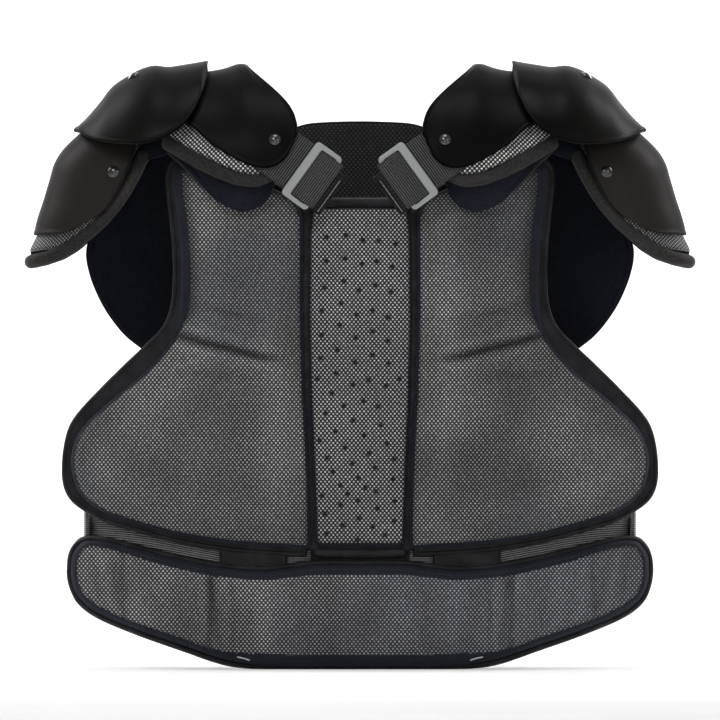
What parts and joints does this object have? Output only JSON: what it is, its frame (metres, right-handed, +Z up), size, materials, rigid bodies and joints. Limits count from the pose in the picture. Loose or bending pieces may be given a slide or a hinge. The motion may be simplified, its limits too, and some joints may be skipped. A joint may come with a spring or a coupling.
{
  "type": "hockey shoulder pads",
  "caption": "Ice hockey shoulder pads: hinged chest, belly and back pads in mesh over foam, arched shoulder and arm caps in moulded plastic, webbing, loop buckles and waist elastics.",
  "frame": {"origin": "middle of the footprint, at the height of the belly pad's lowest edge, worn upright", "axes": "+Z up, -Y the way the chest faces, +X the wearer's left"},
  "size_m": [0.639, 0.25, 0.5786],
  "materials": {
    "mesh_chest": "open mesh over dark foam",
    "mesh_sternum": "bright open mesh over dark foam",
    "mesh_belly": "open mesh over dark foam",
    "mesh_back": "dark open mesh",
    "foam": "closed cell foam",
    "nylon": "woven nylon over board",
    "tricot": "brushed tricot",
    "binding": "edge binding",
    "webbing": "ribbed webbing",
    "elastic": "ribbed elastic",
    "plate": "moulded polyethylene, fine grain, satin",
    "rivet": "domed, polished",
    "buckle": "satin"
  },
  "bodies": {
    "back_panel": {"back_lining": "tricot", "back_foam": "foam", "back_cover": "mesh_back", "back_binding": "binding", "spine_plate": "plate", "spine_rivets": "rivet", "hanging_loop": "webbing"},
    "sternum": {"sternum_foam": "foam", "sternum_cover": "mesh_sternum", "sternum_backing": "nylon", "buckle_tabs": "webbing"},
    "belly": {"belly_foam": "foam", "belly_cover": "mesh_belly", "belly_backing": "nylon", "belly_hanger": "elastic", "belly_loops": "webbing"},
    "rear_strap_left": {"rear_strap_left": "elastic"},
    "chest_left": {"chest_foam_left": "foam", "chest_cover_left": "mesh_chest", "chest_backing_left": "nylon", "waist_elastic_left": "elastic"},
    "arch_left": {"clavicle_pad_left": "foam", "clavicle_facing_left": "mesh_back", "clavicle_binding_left": "binding", "clavicle_plate_left": "plate", "clavicle_rivets_left": "rivet", "under_flap_left": "tricot", "shoulder_strap_left": "webbing"},
    "buckle_left": {"buckle_frame_left": "buckle", "strap_fold_left": "webbing"},
    "shoulder_cap_left": {"shoulder_cap_left": "plate", "shoulder_cap_rivet_left": "rivet"},
    "arm_cap_left": {"arm_cap_plate_left": "plate", "arm_cap_pad_left": "foam", "arm_cap_facing_left": "mesh_back", "arm_cap_binding_left": "binding", "arm_cap_rivets_left": "rivet", "arm_tether_left": "elastic"},
    "rear_strap_right": {"rear_strap_right": "elastic"},
    "chest_right": {"chest_foam_right": "foam", "chest_cover_right": "mesh_chest", "chest_backing_right": "nylon", "waist_elastic_right": "elastic"},
    "arch_right": {"clavicle_pad_right": "foam", "clavicle_facing_right": "mesh_back", "clavicle_binding_right": "binding", "clavicle_plate_right": "plate", "clavicle_rivets_right": "rivet", "under_flap_right": "tricot", "shoulder_strap_right": "webbing"},
    "buckle_right": {"buckle_frame_right": "buckle", "strap_fold_right": "webbing"},
    "shoulder_cap_right": {"shoulder_cap_right": "plate", "shoulder_cap_rivet_right": "rivet"},
    "arm_cap_right": {"arm_cap_plate_right": "plate", "arm_cap_pad_right": "foam", "arm_cap_facing_right": "mesh_back", "arm_cap_binding_right": "binding", "arm_cap_rivets_right": "rivet", "arm_tether_right": "elastic"}
  },
  "joints": [
    {"name": "front_open", "type": "hinge", "parent": "back_panel", "child": "sternum", "pos_m": [0, -0.1, 0.432], "axis": [-1, 0, 0], "range_deg": [0, 50], "stiffness_Nm_per_rad": 0.3},
    {"name": "belly_flex", "type": "hinge", "parent": "sternum", "child": "belly", "pos_m": [0, -0.098, 0.124], "axis": [-1, 0, 0], "range_deg": [0, 40], "stiffness_Nm_per_rad": 0.25},
    {"name": "chest_flex_left", "type": "hinge", "parent": "sternum", "child": "chest_left", "pos_m": [0.05, -0.1, 0.26], "axis": [0, 0, 1], "range_deg": [0, 12], "stiffness_Nm_per_rad": 1},
    {"name": "arch_lift_left", "type": "hinge", "parent": "back_panel", "child": "arch_left", "pos_m": [0.07, 0, 0.49], "axis": [0, -1, 0], "range_deg": [-2, 12], "stiffness_Nm_per_rad": 2},
    {"name": "arm_cap_lift_left", "type": "hinge", "parent": "arch_left", "child": "arm_cap_left", "pos_m": [0.222, 0, 0.52], "axis": [0, -1, 0], "range_deg": [-5, 40], "stiffness_Nm_per_rad": 0.35},
    {"name": "shoulder_cap_lift_left", "type": "hinge", "parent": "arch_left", "child": "shoulder_cap_left", "pos_m": [0.15, 0, 0.572], "axis": [0, -1, 0], "range_deg": [-2.5, 20], "stiffness_Nm_per_rad": 0.3},
    {"name": "buckle_slide_left", "type": "slide", "parent": "arch_left", "child": "buckle_left", "axis": [-0.811, 0, -0.585], "range_m": [0, 0.01]},
    {"name": "rear_strap_swing_left", "type": "hinge", "parent": "back_panel", "child": "rear_strap_left", "pos_m": [0.156, 0.08, 0.133], "axis": [0, 0, 1], "range_deg": [0, 60], "stiffness_Nm_per_rad": 0.02},
    {"name": "chest_flex_right", "type": "hinge", "parent": "sternum", "child": "chest_right", "pos_m": [-0.05, -0.1, 0.26], "axis": [0, 0, -1], "range_deg": [0, 12], "stiffness_Nm_per_rad": 1},
    {"name": "arch_lift_right", "type": "hinge", "parent": "back_panel", "child": "arch_right", "pos_m": [-0.07, 0, 0.49], "axis": [0, 1, 0], "range_deg": [-2, 12], "stiffness_Nm_per_rad": 2},
    {"name": "arm_cap_lift_right", "type": "hinge", "parent": "arch_right", "child": "arm_cap_right", "pos_m": [-0.222, 0, 0.52], "axis": [0, 1, 0], "range_deg": [-5, 40], "stiffness_Nm_per_rad": 0.35},
    {"name": "shoulder_cap_lift_right", "type": "hinge", "parent": "arch_right", "child": "shoulder_cap_right", "pos_m": [-0.15, 0, 0.572], "axis": [0, 1, 0], "range_deg": [-2.5, 20], "stiffness_Nm_per_rad": 0.3},
    {"name": "buckle_slide_right", "type": "slide", "parent": "arch_right", "child": "buckle_right", "axis": [0.811, 0, -0.585], "range_m": [0, 0.01]},
    {"name": "rear_strap_swing_right", "type": "hinge", "parent": "back_panel", "child": "rear_strap_right", "pos_m": [-0.156, 0.08, 0.133], "axis": [0, 0, -1], "range_deg": [0, 60], "stiffness_Nm_per_rad": 0.02}
  ],
  "couplings": [
    {"joint": "shoulder_cap_lift_left", "follows": "arm_cap_lift_left", "ratio": 0.5},
    {"joint": "shoulder_cap_lift_right", "follows": "arm_cap_lift_right", "ratio": 0.5}
  ]
}
